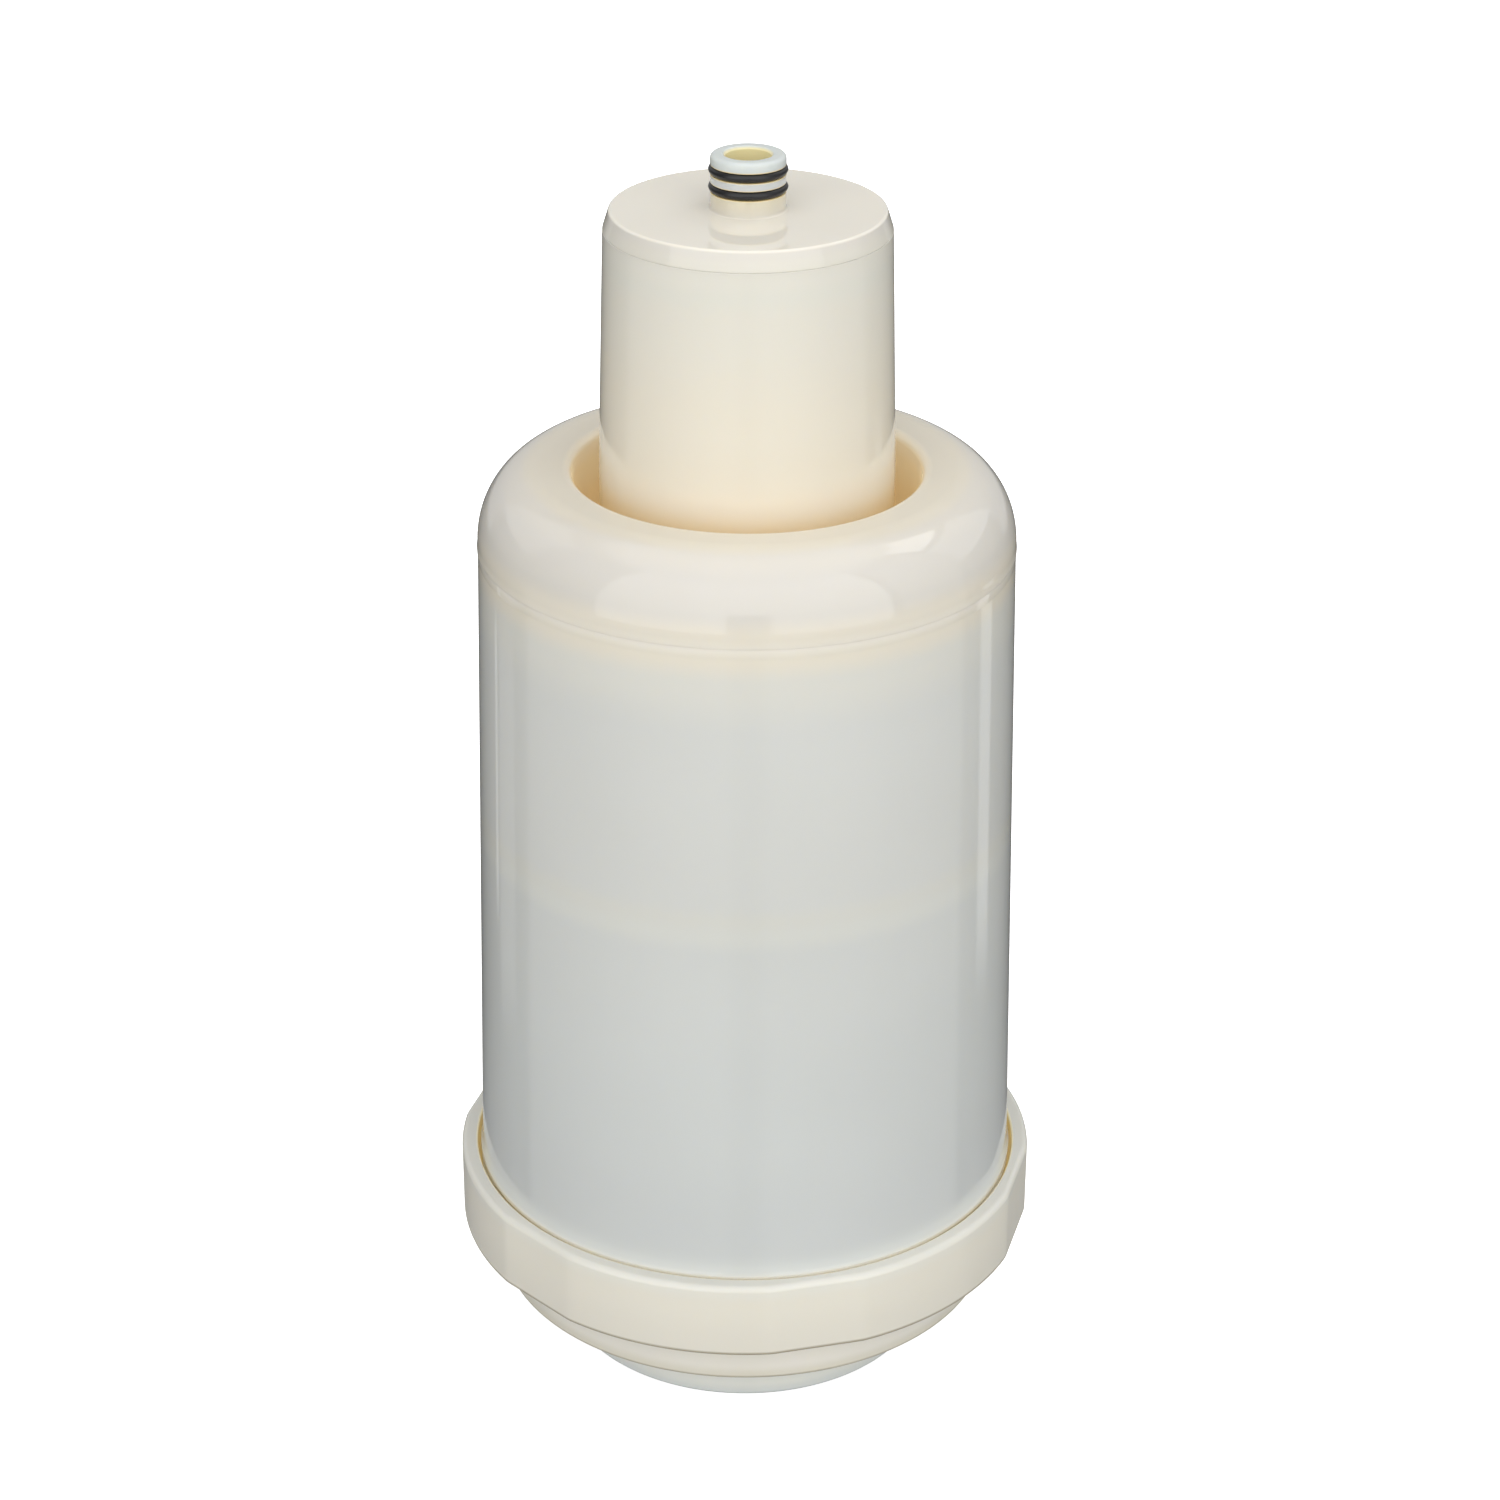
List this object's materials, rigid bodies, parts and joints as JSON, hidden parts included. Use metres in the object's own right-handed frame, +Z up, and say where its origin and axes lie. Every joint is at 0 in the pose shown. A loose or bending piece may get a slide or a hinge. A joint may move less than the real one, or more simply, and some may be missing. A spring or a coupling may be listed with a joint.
{
  "type": "water filter cartridge",
  "caption": "Plug-in water filter cartridge: slim O-ring spigot on a neck in a domed, wide drafted body, with a screw-on collar over a stepped inlet base.",
  "frame": {"origin": "on the cartridge's axis at the underside of the inlet foot, which it stands on", "axes": "+Z up along the axis, from the inlet foot towards the outlet spigot; X and Y are across, with a wrench flat facing 75.5 degrees from +X towards -Y"},
  "size_m": [0.1136, 0.1136, 0.2414],
  "materials": {
    "ivory_polypropylene": "gloss",
    "natural_polypropylene": "gloss",
    "nitrile_rubber": "satin",
    "silicone_rubber": "satin",
    "white_acetal": "satin",
    "polyester_felt": "matte",
    "carbon_granules": "matte",
    "mineral_granules": "matte",
    "hollow_fibre": "matte",
    "potting_resin": "gloss"
  },
  "bodies": {
    "base_assembly": {"inlet_cap": "natural_polypropylene", "inlet_screen": "white_acetal", "base_cover": "ivory_polypropylene", "base_gasket": "silicone_rubber"},
    "collar_nut": {"collar": "ivory_polypropylene"},
    "cartridge": {"body_shell": "natural_polypropylene", "shoulder_cap": "ivory_polypropylene", "module_gasket": "silicone_rubber", "neck_sleeve": "natural_polypropylene", "fibre_screen": "white_acetal", "hollow_fibres": "hollow_fibre", "potting_disc": "potting_resin", "outlet_cap": "ivory_polypropylene", "upper_o_ring": "nitrile_rubber", "lower_o_ring": "nitrile_rubber", "snap_ring": "white_acetal", "bottom_plate": "white_acetal", "bottom_felt": "polyester_felt", "lower_media": "carbon_granules", "separator_plate": "white_acetal", "separator_felt": "polyester_felt", "upper_media": "mineral_granules", "top_felt": "polyester_felt", "top_plate": "white_acetal"}
  },
  "joints": [
    {"name": "cartridge_lift", "type": "slide", "parent": "base_assembly", "child": "cartridge", "axis": [0, 0, 1], "range_m": [0, 0.009]},
    {"name": "collar_turn", "type": "hinge", "parent": "base_assembly", "child": "collar_nut", "pos_m": [0, 0, 0.0316], "axis": [0, 0, -1], "range_deg": [0, 810]}
  ],
  "couplings": [
    {"joint": "cartridge_lift", "follows": "collar_turn", "m_per_rad": 0.00063662}
  ]
}
